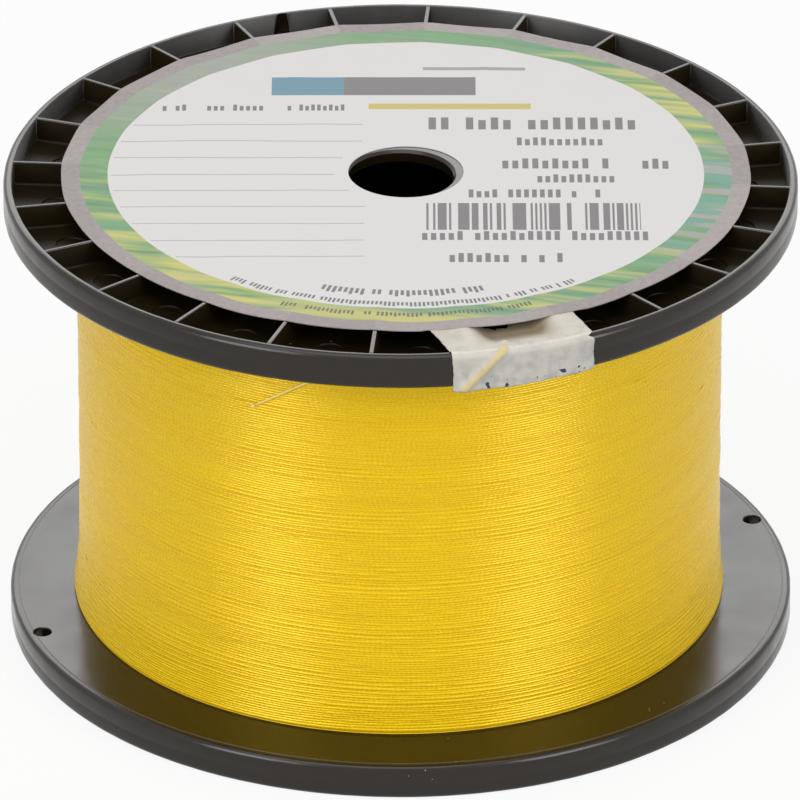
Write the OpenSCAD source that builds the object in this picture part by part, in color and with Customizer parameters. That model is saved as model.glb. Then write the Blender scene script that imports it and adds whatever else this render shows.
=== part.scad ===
// Bulk spool of braided fishing line: two identical ribbed flanges pressed on a core barrel,
// a drum of wound line, its free end taped over the rim, and a round label on the top flange.
// Origin: on the bore's axis, at the face the spool stands on. +Z runs up the axis.

/* [Flanges] */
// Diameter of each flange
flange_d = 114.3; // [105:0.1:125]
// Thickness of each flange at its rim
flange_t = 5.15; // [4.6:0.05:6.5]
// Thickness of the plate that closes the line side
plate_t = 1.7; // [1.2:0.1:2.2]
// Wall of the rim
rim_wall = 1.15; // [1:0.05:1.6]
// Rounding of the rim's two outer edges
rim_round = 0.8; // [0.4:0.1:0.9]
// Number of radial ribs on the outer side
rib_count = 24; // [12:2:28]
// Thickness of a rib where it meets the plate
rib_root_t = 0.85; // [0.7:0.05:1.2]
// Thickness of a rib at its free edge
rib_edge_t = 0.65; // [0.5:0.05:0.7]
// Diameter of the ejector marks on the pocket floors
ejector_mark_d = 4.4; // [3:0.1:5]
// Depth of the ejector marks
ejector_mark_depth = 0.15; // [0.1:0.05:0.3]
// Distance of the ejector marks' centres from the rim's inner wall
ejector_inset = 6.5; // [5:0.5:9]
// Turn of the lower flange about the axis, to its first tie hole
bottom_turn = 18.3; // [0:0.1:360]
// Turn of the upper flange about the axis, to its first tie hole
top_turn = 108.3; // [0:0.1:360]

/* [Hub] */
// Diameter of the bore that an arbor runs in
bore_d = 15.2; // [12.7:0.1:20]
// Chamfer round the bore's mouth
bore_chamfer = 0.4; // [0.2:0.1:0.6]
// Diameter of the raised hub
hub_d = 30; // [26:1:40]
// Wall of the raised hub, face and side
hub_wall = 1.75; // [1.4:0.05:2.4]

/* [Tie holes] */
// Diameter of the two holes that a line's end can be tied through
tie_hole_d = 2.6; // [1.5:0.1:3]
// Distance of a tie hole's centre from the rim's inner wall
tie_inset = 1.2; // [1.2:0.1:4]
// Diameter of the relief groove that runs up the rim beside a tie hole
tie_groove_d = 3.6; // [3.2:0.1:4]

/* [Core barrel] */
// Clear distance between the flanges
traverse = 60.54; // [40:0.5:80]
// Outer diameter of the barrel
barrel_d = 71; // [64:0.5:76]
// Wall of the barrel
barrel_wall = 1.8; // [1.4:0.1:3]
// Clearance between the barrel's bore and a flange's locating ring
seat_clearance = 0.05; // [0.02:0.01:0.15]
// Height of a flange's locating ring
seat_ring_h = 5; // [3:0.5:8]
// Wall of a flange's locating ring
seat_ring_wall = 1.4; // [1:0.1:2]

/* [Line] */
// Diameter over the wound line
wound_d = 93.4; // [88:0.1:96]
// Diameter of one band of turns in the outer layer
band_d = 2; // [1.6:0.1:2]
// Number of bands in the outer layer
band_loops = 24; // [12:1:24]
// Clearance of the wound line from the flanges and from its own inner layers
wound_clearance = 0.1; // [0.05:0.05:0.2]
// Bend radius where the outer layer dives into the inner layers
dive_bend_r = 1.6; // [1.4:0.1:2]
// Azimuth at which the outer layer starts and ends
dive_azimuth = 96; // [0:1:360]
// Diameter of the line itself
line_d = 0.36; // [0.3:0.02:0.4]

/* [Tapes] */
// Thickness of both paper tapes
tape_t = 0.13; // [0.1:0.01:0.2]
// Azimuth of the end tape's first edge
end_tape_from = 277.5; // [270:0.1:277.9]
// Azimuth of the end tape's second edge
end_tape_to = 298.2; // [292:0.1:305]
// Reach of the end tape over the top of the flange, in from its edge
end_tape_reach = 7.35; // [4:0.05:7.35]
// Length by which the end tape hangs below the rim
end_tape_hang = 0.6; // [0.2:0.1:1.5]
// Clear height under the end tape's ridge, where the line's end passes
ridge_h = 0.5; // [0.48:0.01:0.6]
// Azimuth of the ridge's first edge
ridge_from = 278.2; // [278:0.1:278.3]
// Azimuth of the ridge's second edge
ridge_to = 287; // [286.5:0.5:290]
// Width of the tape that holds the line's first turn on the barrel
start_tape_w = 19; // [12:1:25]
// Arc of the tape that holds the line's first turn on the barrel
start_tape_arc = 50; // [30:5:90]

/* [Label] */
// Bare margin between the label's edge and the rim's inner wall
label_margin = 6.4; // [6.4:0.1:12]
// Diameter of the label's centre hole
label_hole_d = 17.2; // [17.1:0.1:24]
// Thickness of the label
label_t = 0.12; // [0.08:0.01:0.2]
// Offset of the label from the axis along X, as it was stuck on
label_offset_x = 0.75; // [0:0.05:0.75]
// Offset of the label from the axis along Y, as it was stuck on
label_offset_y = 0.55; // [0:0.05:0.55]

/* [Hidden] */
$fn = 96;
black = [0.07, 0.065, 0.06];
yellow = [0.88, 0.74, 0.05];
masking = [0.85, 0.83, 0.76];
paper = [0.9, 0.9, 0.88];
// Depth by which a feature runs into the wall it grows from
fuse = 0.2;
// Arc of the end tape's walls beside its ridge
ridge_step = 0.2;

flange_r = flange_d / 2;
rim_inner_r = flange_r - rim_wall;
pocket_depth = flange_t - plate_t;
height = 2 * flange_t + traverse;
hub_r = hub_d / 2;
bore_r = bore_d / 2;
rib_step = 360 / rib_count;
barrel_r = barrel_d / 2;
barrel_inner_r = barrel_r - barrel_wall;
seat_ring_r = barrel_inner_r - seat_clearance;

// The outer layer's centreline: a helix that touches the wound diameter from inside
loop_rings = 24;
band_sides = 6;
band_r = wound_d / 2 - band_d / 2;
band_low_z = flange_t + wound_clearance + band_d / 2;
band_high_z = flange_t + traverse - wound_clearance - band_d / 2;
band_rise = (band_high_z - band_low_z) / (band_loops * loop_rings);
inner_layers_r = band_r * cos(180 / loop_rings) - band_d / 2 - wound_clearance / 2;
inner_layers_bore_r = barrel_r + tape_t + wound_clearance;
dive_steps = 4;
dive_bottom_r = band_r - dive_bend_r - band_d;

// Where the line's free end runs: azimuth, radius and height of each point
tail_route = [
    [244, 46.95, 55.45], [260.49, 48.96, 64.76], [261.39, 49.2, 65.2], [262.27, 49.44, 65.42],
    [263.25, 49.73, 65.46], [278.2, 56.3, 65.46], [278.5, 56.6, 65.5], [278.8, 56.85, 65.55],
    [279.1, 57.15, 65.8], [279.5, 57.35, 66.15], [279.9, 57.4, 66.5], [280.8, 57.4, 67.4],
    [281.7, 57.4, 68.3], [282.6, 57.4, 69.2], [283.5, 57.4, 70.05], [283.95, 57.3, 70.45],
    [284.4, 57.1, 70.8], [284.7, 56.75, 71], [284.9, 56.35, 71.1], [285.1, 55.6, 71.1], [285.3, 54.8, 71.1]
];
tail_ring_gap = 3 * line_d;
tail_sides = 8;

// ---- Tubes ----

// Point at an azimuth, a radius and a height
function polar(azimuth, radius, z) = [radius * cos(azimuth), radius * sin(azimuth), z];

// Unit vector along v
function unit(v) = v / norm(v);

// Direction of a path at its point i
function heading(path, i) =
    unit(path[min(i + 1, len(path) - 1)] - path[max(i - 1, 0)]);

// Ring of points round point i of a path, in the plane across it
function ring(path, i, tube_r, sides) =
    let (along = heading(path, i), across = unit(cross([0, 0, 1], along)), over = cross(along, across))
    [for (k = [0 : sides - 1]) path[i] + tube_r * (cos(360 * k / sides) * across + sin(360 * k / sides) * over)];

// Closed tube along a path, all faces triangles
module tube(path, tube_r, sides) {
    rings = len(path);
    points = [for (i = [0 : rings - 1]) each ring(path, i, tube_r, sides)];
    walls = [
        for (i = [0 : rings - 2], k = [0 : sides - 1])
            let (a = i * sides + k, b = i * sides + (k + 1) % sides)
            each [[a, a + sides, b], [b, a + sides, b + sides]]
    ];
    first_cap = [for (k = [1 : sides - 2]) [0, k, k + 1]];
    last = (rings - 1) * sides;
    last_cap = [for (k = [1 : sides - 2]) [last, last + k + 1, last + k]];
    polyhedron(points = points, faces = concat(walls, first_cap, last_cap));
}

// Point beside the dive azimuth: run along the turn, radius and height
function dive_point(run, radius, z) =
    [radius * cos(dive_azimuth) - run * sin(dive_azimuth), radius * sin(dive_azimuth) + run * cos(dive_azimuth), z];

// Quarter bend and straight run by which an end of the outer layer goes into the inner layers
function dive(side, z) = [
    for (i = [1 : dive_steps])
        let (turn = 90 * i / dive_steps)
        dive_point(side * dive_bend_r * sin(turn), band_r - dive_bend_r * (1 - cos(turn)), z),
    dive_point(side * dive_bend_r, dive_bottom_r, z)
];

helix = [
    for (i = [0 : band_loops * loop_rings])
        polar(dive_azimuth + 360 * i / loop_rings, band_r, band_low_z + band_rise * i)
];
first_dive = dive(-1, band_low_z);
band_path = concat([for (i = [len(first_dive) - 1 : -1 : 0]) first_dive[i]], helix, dive(1, band_high_z));

// Least gap of the outer layer to itself, from each point to those half a loop to two loops on
band_gap = min([
    for (i = [0 : len(band_path) - 1])
        for (j = [i + loop_rings / 2 : min(i + 2 * loop_rings, len(band_path) - 1)])
            norm(band_path[i] - band_path[j])
]) - band_d;
echo(least_gap_in_outer_layer = band_gap);

// Line's free end, with a ring at each point of the route and between far points
tail_points = [for (p = tail_route) polar(p[0], p[1], p[2])];
tail_path = [
    for (i = [0 : len(tail_points) - 2])
        let (a = tail_points[i], b = tail_points[i + 1], steps = ceil(norm(b - a) / tail_ring_gap))
        for (k = [0 : steps - 1]) a + (b - a) * k / steps,
    tail_points[len(tail_points) - 1]
];
echo(tail_length = norm_sum(tail_points));

// Length of a path
function norm_sum(path, i = 0) =
    i >= len(path) - 1 ? 0 : norm(path[i + 1] - path[i]) + norm_sum(path, i + 1);

// ---- Flanges ----

// Section of the rim, grown outwards, with its outer edges rounded
module rim_section(grow) {
    edge_r = rim_round + grow;
    low = -grow;
    high = flange_t + grow;
    translate([rim_inner_r, low])
        square([rim_wall + grow - edge_r, high - low]);
    translate([rim_inner_r, low + edge_r])
        square([rim_wall + grow, high - low - 2 * edge_r]);
    for (z = [low + edge_r, high - edge_r])
        intersection() {
            translate([flange_r + grow - edge_r, z])
                circle(edge_r);
            translate([rim_inner_r, low])
                square([rim_wall + grow, high - low]);
        }
}

// One flange, outer face at z = 0, first tie hole at azimuth 0
module flange() {
    difference() {
        union() {
            rotate_extrude() {
                rim_section(0);
                translate([hub_r - hub_wall, pocket_depth])
                    square([rim_inner_r + fuse - hub_r + hub_wall, plate_t]);
                translate([hub_r - hub_wall, 0])
                    square([hub_wall, flange_t]);
                translate([bore_r, 0])
                    square([hub_r - bore_r, hub_wall]);
                translate([seat_ring_r - seat_ring_wall, pocket_depth])
                    square([seat_ring_wall, plate_t + seat_ring_h]);
            }
            for (i = [0 : rib_count - 1])
                rotate([0, 0, (i + 0.5) * rib_step])
                    rib();
        }
        bore_mouth();
        for (i = [0 : rib_count - 1])
            rotate([0, 0, i * rib_step])
                translate([rim_inner_r - ejector_inset, 0, pocket_depth - fuse])
                    cylinder(h = fuse + ejector_mark_depth, d = ejector_mark_d);
        for (azimuth = [0, 180])
            rotate([0, 0, azimuth])
                translate([rim_inner_r - tie_inset, 0, 0])
                    tie_hole();
    }
}

// Radial rib from the hub to the rim, thinner at its free edge
module rib() {
    section = [
        [0, -rib_edge_t / 2],
        [0, rib_edge_t / 2],
        [pocket_depth + fuse, rib_root_t / 2],
        [pocket_depth + fuse, -rib_root_t / 2]
    ];
    translate([hub_r - fuse, 0, 0])
        rotate([0, -90, 0])
            mirror([0, 0, 1])
                linear_extrude(rim_inner_r - hub_r + 2 * fuse)
                    polygon(section);
}

// Chamfer at the outer mouth of the bore
module bore_mouth() {
    translate([0, 0, -bore_chamfer])
        cylinder(h = 2 * bore_chamfer, r1 = bore_r + 2 * bore_chamfer, r2 = bore_r);
}

// Hole through the plate and the groove beside it in the rim
module tie_hole() {
    translate([0, 0, pocket_depth - fuse])
        cylinder(h = plate_t + 2 * fuse, d = tie_hole_d);
    translate([0, 0, -fuse])
        cylinder(h = pocket_depth + fuse, d = tie_groove_d);
}

module bottom_flange() {
    color(black)
        rotate([0, 0, bottom_turn])
            flange();
}

module top_flange() {
    color(black)
        rotate([0, 0, top_turn])
            translate([0, 0, height])
                rotate([180, 0, 0])
                    flange();
}

// ---- Core ----

// Tube that the line is wound on, held between the flanges by their locating rings
module core_barrel() {
    color(black)
        translate([0, 0, flange_t])
            difference() {
                cylinder(h = traverse, r = barrel_r);
                translate([0, 0, -fuse])
                    cylinder(h = traverse + 2 * fuse, r = barrel_inner_r);
            }
}

// Patch of tape that holds the line's first turn on the barrel
module start_tape() {
    color(masking)
        rotate_extrude(angle = start_tape_arc)
            translate([barrel_r, flange_t + (traverse - start_tape_w) / 2])
                square([tape_t, start_tape_w]);
}

// ---- Line ----

// Layers under the outer one, as one drum, with a hole where each end of the outer layer dives in
module line_inner_layers() {
    color(yellow)
        difference() {
            translate([0, 0, flange_t + wound_clearance])
                cylinder(h = traverse - 2 * wound_clearance, r = inner_layers_r);
            translate([0, 0, flange_t])
                cylinder(h = traverse, r = inner_layers_bore_r);
            dive_hole(-1, band_low_z);
            dive_hole(1, band_high_z);
        }
}

// Hole that one end of the outer layer goes into
module dive_hole(side, z) {
    rotate([0, 0, dive_azimuth])
        translate([dive_bottom_r - wound_clearance, side * dive_bend_r, z])
            rotate([0, 90, 0])
                cylinder(h = wound_d / 2 - dive_bottom_r, r = band_d / 2 + wound_clearance);
}

// Outer layer: one unbroken winding from the lower flange to the upper one
module line_outer_layer() {
    color(yellow)
        tube(band_path, band_d / 2, band_sides);
}

// Free end of the line, drawn out under the upper flange and up over its rim
module line_tail() {
    color(yellow)
        tube(tail_path, line_d / 2, tail_sides);
}

// ---- Tape and label ----

// Upper flange's section over the tape's reach, grown and run on below the rim
module wrapped_section(grow, margin) {
    edge_r = rim_round + grow;
    translate([0, traverse + flange_t])
        intersection() {
            union() {
                translate([0, -flange_t])
                    square([flange_r + grow, 2 * flange_t + grow - edge_r]);
                square([flange_r + grow - edge_r, flange_t + grow]);
                translate([flange_r + grow - edge_r, flange_t + grow - edge_r])
                    circle(edge_r);
            }
            translate([flange_r - end_tape_reach - margin, -end_tape_hang - margin])
                square([flange_d, 2 * flange_t + end_tape_hang]);
        }
}

// Wedge of the wrapped section between two azimuths
module wrapped_wedge(from, to, grow, margin) {
    rotate([0, 0, from])
        rotate_extrude(angle = to - from)
            wrapped_section(grow, margin);
}

// Tape that holds the line's free end on the rim, raised where the line passes under it
module end_tape() {
    color(masking)
        difference() {
            union() {
                wrapped_wedge(end_tape_from, end_tape_to, tape_t, 0);
                wrapped_wedge(ridge_from, ridge_to, ridge_h + tape_t, 0);
            }
            wrapped_wedge(end_tape_from - 1, end_tape_to + 1, 0, fuse);
            wrapped_wedge(ridge_from + ridge_step, ridge_to - ridge_step, ridge_h, fuse);
        }
}

// Round label, stuck to the ribs and the hub a little off centre
module top_label() {
    color(paper)
        translate([label_offset_x, label_offset_y, height])
            difference() {
                cylinder(h = label_t, r = rim_inner_r - label_margin);
                translate([0, 0, -fuse])
                    cylinder(h = label_t + 2 * fuse, d = label_hole_d);
            }
}

bottom_flange();
top_flange();
core_barrel();
start_tape();
line_inner_layers();
line_outer_layer();
line_tail();
end_tape();
top_label();
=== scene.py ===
"""Bulk spool of yellow braided fishing line: the finished pieces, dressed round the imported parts.

Lengths are millimetres until a mesh is made. Azimuths run counterclockwise from +X, seen from above.
"""

import math

import bmesh
import bpy
import numpy as np
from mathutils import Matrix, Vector


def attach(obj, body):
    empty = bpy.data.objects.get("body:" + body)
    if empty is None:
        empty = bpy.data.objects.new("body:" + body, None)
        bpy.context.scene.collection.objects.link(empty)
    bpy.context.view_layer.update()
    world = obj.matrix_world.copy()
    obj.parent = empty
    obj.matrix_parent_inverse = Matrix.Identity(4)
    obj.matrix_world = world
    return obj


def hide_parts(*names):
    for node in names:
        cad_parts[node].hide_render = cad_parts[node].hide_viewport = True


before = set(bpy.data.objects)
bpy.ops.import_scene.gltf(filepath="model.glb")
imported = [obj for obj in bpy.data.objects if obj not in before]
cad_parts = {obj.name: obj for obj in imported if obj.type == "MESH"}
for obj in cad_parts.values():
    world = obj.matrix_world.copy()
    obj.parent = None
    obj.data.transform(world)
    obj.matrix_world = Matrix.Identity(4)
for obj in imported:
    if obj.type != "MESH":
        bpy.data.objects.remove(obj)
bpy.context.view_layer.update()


# ---- Camera ----
# A long lens from the front, a little above the spool, so that both the label and the wound line show.

eye = Vector((0, -1.385251, 0.760891))
aim = Vector((-0.0000911, 0, 0.034142))
camera_data = bpy.data.cameras.new("camera")
camera_data.lens = 484.104
camera_data.sensor_width = 36
camera_data.clip_start = 0.1
camera_data.clip_end = 20
camera = bpy.data.objects.new("camera", camera_data)
camera.location = eye
camera.rotation_euler = (aim - eye).to_track_quat("-Z", "Y").to_euler()
bpy.context.scene.collection.objects.link(camera)
bpy.context.scene.camera = camera
bpy.context.scene.view_settings.view_transform = "Standard"


# ---- Line's free end ----
# The last few centimetres of the line: a four-strand braid of dyed polyethylene, 0.36 mm thick. It comes off
# the winding, runs out along the upper flange's underside, goes up over the rim and ends under the tape.

MM = 0.001
line_d = 0.36
braid_pick = 0.72
line_yellow = (0.91, 0.63, 0.0, 1)
line_amber = (0.85, 0.49, 0.0, 1)
# Painted light: the loose line takes a paler copy of the wound line's dyes, so that it shows brighter
loose_yellow_painted_lit = (1.0, 0.88, 0.30, 1)
loose_deep_painted_lit = (0.98, 0.78, 0.14, 1)
wound_lustre = 0.15
loose_lustre = 0.35
warm_gloss = (1.0, 0.95, 0.88, 1)
tail_sides = 10
# Azimuth in degrees, radius and height of each point that the free end passes
tail_route = [
    (244, 46.95, 55.45), (260.49, 48.96, 64.76), (261.39, 49.2, 65.2), (262.27, 49.44, 65.42),
    (263.25, 49.73, 65.46), (278.2, 56.3, 65.46), (278.5, 56.6, 65.5), (278.8, 56.85, 65.55),
    (279.1, 57.15, 65.8), (279.5, 57.35, 66.15), (279.9, 57.4, 66.5), (280.8, 57.4, 67.4),
    (281.7, 57.4, 68.3), (282.6, 57.4, 69.2), (283.5, 57.4, 70.05), (283.95, 57.3, 70.45),
    (284.4, 57.1, 70.8), (284.7, 56.75, 71), (284.9, 56.35, 71.1), (285.1, 55.6, 71.1), (285.3, 54.8, 71.1),
]


def polar(azimuth, radius, z):
    """Points at azimuths in radians, radii and heights, as one array with x, y, z last."""
    azimuth, radius, z = np.broadcast_arrays(azimuth, radius, z)
    return np.stack([radius * np.cos(azimuth), radius * np.sin(azimuth), z], axis=-1)


def quads(rows, columns, wrap_rows, wrap_columns):
    """Row and column of each quad's corners. A wrapped side's last quad ends on line 0, numbered one past."""
    i = np.arange(rows if wrap_rows else rows - 1)
    j = np.arange(columns if wrap_columns else columns - 1)
    i, j = np.meshgrid(i, j, indexing="ij")
    row = np.stack([i, i, i + 1, i + 1], axis=-1).reshape(-1, 4)
    column = np.stack([j, j + 1, j + 1, j], axis=-1).reshape(-1, 4)
    return row, column


def surface(name, points, wrap_rows=False, wrap_columns=False, capped=False, run=None, marks=None):
    """Object whose mesh is a grid of points. It faces the side that columns cross rows points to.

    points: rows x columns x 3. capped: closes the first and last row with a flat face.
    run: lengths along rows and columns, one more than the lines where they wrap, for a UV map in metres.
    The first starts again every metre, between two faces, so that a fine pattern far along stays precise.
    marks: named numbers per point, kept as attributes.
    """
    rows, columns = points.shape[:2]
    row, column = quads(rows, columns, wrap_rows, wrap_columns)
    faces = (row % rows) * columns + column % columns
    mesh = bpy.data.meshes.new(name)
    ends = [list(range(columns))[::-1], list(range((rows - 1) * columns, rows * columns))] if capped else []
    mesh.from_pydata((points.reshape(-1, 3) * MM).tolist(), [], faces.tolist() + ends)
    if run is not None:
        along, across = run
        along = np.asarray(along)
        whole_metres = np.floor(along[row[:, :1]] * MM) / MM
        corners = np.stack([along[row % len(along)] - whole_metres, np.asarray(across)[column]], axis=-1)
        corners = corners.reshape(-1, 2) * MM
        spare = np.zeros((len(mesh.loops) - len(corners), 2))
        layer = mesh.uv_layers.new(name="run")
        layer.data.foreach_set("uv", np.concatenate([corners, spare]).astype(np.float32).ravel())
    for key, values in (marks or {}).items():
        attribute = mesh.attributes.new(key, "FLOAT", "POINT")
        attribute.data.foreach_set("value", np.asarray(values, np.float32).ravel())
    mesh.polygons.foreach_set("use_smooth", np.ones(len(mesh.polygons), bool))
    made = bpy.data.objects.new(name, mesh)
    bpy.context.scene.collection.objects.link(made)
    return made


def unit(vectors):
    """Each vector over its length."""
    return vectors / np.linalg.norm(vectors, axis=-1, keepdims=True)


def tube(path, outward, turn, thick_r, wide_r):
    """Rings of points round a path: thick_r cos(turn) outward plus wide_r sin(turn) across, for each turn.

    outward is squared to the path's direction first. The angles run once round, starting anywhere.
    """
    along = unit(np.gradient(path, axis=0))
    out = unit(outward - along * np.sum(outward * along, axis=-1, keepdims=True))
    over = np.cross(along, out)
    thick, wide = thick_r * np.cos(turn)[:, None], wide_r * np.sin(turn)[:, None]
    return path[:, None] + thick * out[:, None] + wide * over[:, None]


def tube_run(path, turn, start=0.0):
    """Lengths for a tube's UV map: along its path, and round a line of full diameter, closed at the end."""
    return start + path_run(path), np.append(turn, turn[0] + 2 * np.pi) * line_d / 2


def path_run(path):
    """Length along a path from its start to each point."""
    return np.concatenate([[0], np.cumsum(np.linalg.norm(np.diff(path, axis=0), axis=1))])


def new_finish(name):
    """Material with a Principled shader, as (material, node tree, shader)."""
    material = bpy.data.materials.new(name)
    material.use_nodes = True
    return material, material.node_tree, material.node_tree.nodes["Principled BSDF"]


def feed(tree, made, inputs):
    """Gives each of a node's sockets, by name or number, a value or the output that feeds it."""
    for key, value in inputs.items():
        if isinstance(value, bpy.types.NodeSocket):
            tree.links.new(value, made.inputs[key])
        else:
            made.inputs[key].default_value = value


def node(tree, kind, inputs=None, **settings):
    """New node, with its settings and what feeds its sockets."""
    made = tree.nodes.new(kind)
    for key, value in settings.items():
        setattr(made, key, value)
    feed(tree, made, inputs or {})
    return made


def calc(tree, operation, *values):
    """Result of a Math node."""
    return node(tree, "ShaderNodeMath", dict(enumerate(values)), operation=operation).outputs[0]


def blend(tree, share, first, second):
    """Colour that goes from first to second as share goes from 0 to 1."""
    sockets = {0: share, 6: first, 7: second}
    return node(tree, "ShaderNodeMix", sockets, data_type="RGBA").outputs[2]


def noise(tree, place, scale, detail=2.0):
    """Noise value at a place. scale is in waves per metre."""
    sockets = {"Vector": place, "Scale": scale, "Detail": detail}
    return node(tree, "ShaderNodeTexNoise", sockets).outputs["Fac"]


def spread(tree, value, low, high, to_low=0.0, to_high=1.0):
    """value from low..high stretched to to_low..to_high, and held at its ends."""
    sockets = {0: value, 1: low, 2: high, 3: to_low, 4: to_high}
    return node(tree, "ShaderNodeMapRange", sockets).outputs[0]


def split(tree, vector):
    """The three parts of a vector."""
    return node(tree, "ShaderNodeSeparateXYZ", {0: vector}).outputs


def join(tree, *parts):
    """Vector of one to three parts. Those left out are 0."""
    return node(tree, "ShaderNodeCombineXYZ", dict(enumerate(parts))).outputs[0]


def bumped(tree, relief, strength, distance):
    """Normal bent by a relief from 0 to 1, distance metres high. strength is the share of it kept."""
    sockets = {"Height": relief, "Strength": strength, "Distance": distance}
    return node(tree, "ShaderNodeBump", sockets).outputs[0]


def braided_line(name, pale_dye, deep_dye_and_shade, lustre):
    """Braid: two sets of carriers wind round the line in opposite hands, and the higher one shows.

    The carriers' phase wanders along the line, so that neighbouring turns never keep step. lustre is the
    share of light that enters the clear filaments and comes back off their far side, with the dye's colour.
    Broad streaks, a few turns high and long round the spool, were laid on at another tension.
    """
    material, tree, shader = new_finish(name)
    run_along, run_round, _ = split(tree, node(tree, "ShaderNodeUVMap", uv_map="run").outputs[0])
    length = join(tree, run_along)
    wander = calc(tree, "MULTIPLY", noise(tree, length, 23.0), 60.0)
    along = calc(tree, "MULTIPLY_ADD", run_along, 2 * math.pi / (braid_pick * MM), wander)
    around = calc(tree, "MULTIPLY", run_round, 2 / (line_d * MM))
    right_hand = calc(tree, "SINE", calc(tree, "ADD", along, around))
    left_hand = calc(tree, "SINE", calc(tree, "SUBTRACT", along, around))
    carrier = calc(tree, "MAXIMUM", right_hand, calc(tree, "MULTIPLY", left_hand, 0.8))
    relief = spread(tree, carrier, -0.6, 1.0)
    # Each length took the dye a little differently. Painted shade: the braid's low places are deeper
    dye = noise(tree, length, 150.0, 4.0)
    pale = calc(tree, "ADD", dye, calc(tree, "MULTIPLY_ADD", relief, 0.7, -0.1))
    # Painted shade: the side of each turn turned down to the next one is painted deeper
    under = calc(tree, "MAXIMUM", calc(tree, "SINE", around), 0.0)
    pale = calc(tree, "MULTIPLY_ADD", under, -0.4, pale)
    x, y, z = split(tree, node(tree, "ShaderNodeTexCoord").outputs["Object"])
    azimuth = calc(tree, "ARCTAN2", y, x)
    streaks = noise(tree, join(tree, calc(tree, "MULTIPLY", azimuth, 0.0016), z), 700.0, 3.0)
    pale = calc(tree, "ADD", pale, spread(tree, streaks, 0.3, 0.7, -0.22, 0.22))
    feed(tree, shader, {
        "Base Color": blend(tree, spread(tree, pale, 0.0, 1.0), deep_dye_and_shade, pale_dye),
        "Metallic": lustre,
        "Roughness": spread(tree, noise(tree, length, 260.0, 3.0), 0.3, 0.7, 0.22, 0.31),
        "Specular IOR Level": 0.36,
        "Specular Tint": warm_gloss,
        "Normal": bumped(tree, relief, 0.45, 0.00003),
    })
    return material


def dress(made, material, slot, *replaced):
    """Gives a piece its finish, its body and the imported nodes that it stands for."""
    made.data.materials.append(material)
    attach(made, "root")
    if replaced:
        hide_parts(*replaced)


def fine_path(points, gap):
    """Points of a broken line, with more between them where they lie further apart than gap."""
    run = path_run(points)
    stops = [np.linspace(a, b, max(2, math.ceil((b - a) / gap) + 1))[:-1] for a, b in zip(run, run[1:])]
    stops = np.append(np.concatenate(stops), run[-1])
    return np.stack([np.interp(stops, run, points[:, k]) for k in range(3)], axis=-1)


loose_finish = braided_line("braided_line_loose", loose_yellow_painted_lit, loose_deep_painted_lit, loose_lustre)
route = np.array(tail_route)
tail_azimuth = np.radians(route[:, 0])
tail_path = fine_path(polar(tail_azimuth, route[:, 1], route[:, 2]), 3 * line_d)
tail_turn = np.arange(tail_sides) * 2 * np.pi / tail_sides
up_and_out = unit(polar(np.arctan2(tail_path[:, 1], tail_path[:, 0]), 1, 1))
free_end = surface(
    "line_free_end", tube(tail_path, up_and_out, tail_turn, line_d / 2, line_d / 2), wrap_columns=True,
    capped=True, run=tube_run(tail_path, tail_turn),
)
dress(free_end, loose_finish, "yellow_line", "line_tail")


# ---- Flanges ----
# Two mouldings of black high-impact styrene from one tool, with the ribbed side out. A flange is one skin:
# rim, 24 drafted ribs with filleted feet, ejector marks in the pockets, hub, and a flat side to the line.

flange_r = 57.15
flange_t = 5.15
height = 70.84
rim_inner_r = 56.0
rim_round = 0.8
pocket_depth = 3.45
hub_r = 15.0
hub_wall = 1.75
bore_r = 7.6
bore_chamfer = 0.4
edge_round = 0.12
wall_draft = 0.1
foot_fillet = 0.38
rib_count = 24
rib_half = 0.325
bottom_turn = 18.3
top_turn = 108.3
mark_r = 49.5
mark_block = 3.0
mark_lines = 11
mark_depth = 0.15
tie_r = 54.8
tie_hole_r = 1.3
tie_chamfer = 0.12
tie_groove_r = 1.8
tie_groove_top_r = 1.42
cutter_past = 0.5
seat_ring_r = 33.65
seat_ring_wall = 1.4
seat_ring_h = 5.0
seat_bevel = 0.15
parting_depth = 2.45
parting_cut = 0.02
sharp_edge = math.radians(40)
plastic_black = (0.011, 0.0068, 0.003, 1)
satin_black_and_painted_sheen = (0.03, 0.0275, 0.027, 1)
pocket_black_painted_warm = (0.014, 0.0095, 0.0025, 1)
dust_pale = (0.42, 0.36, 0.24, 1)


def inside(tree, value, low, high):
    """1 where a value lies between two others."""
    return calc(tree, "COMPARE", value, (low + high) / 2, (high - low) / 2)


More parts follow.
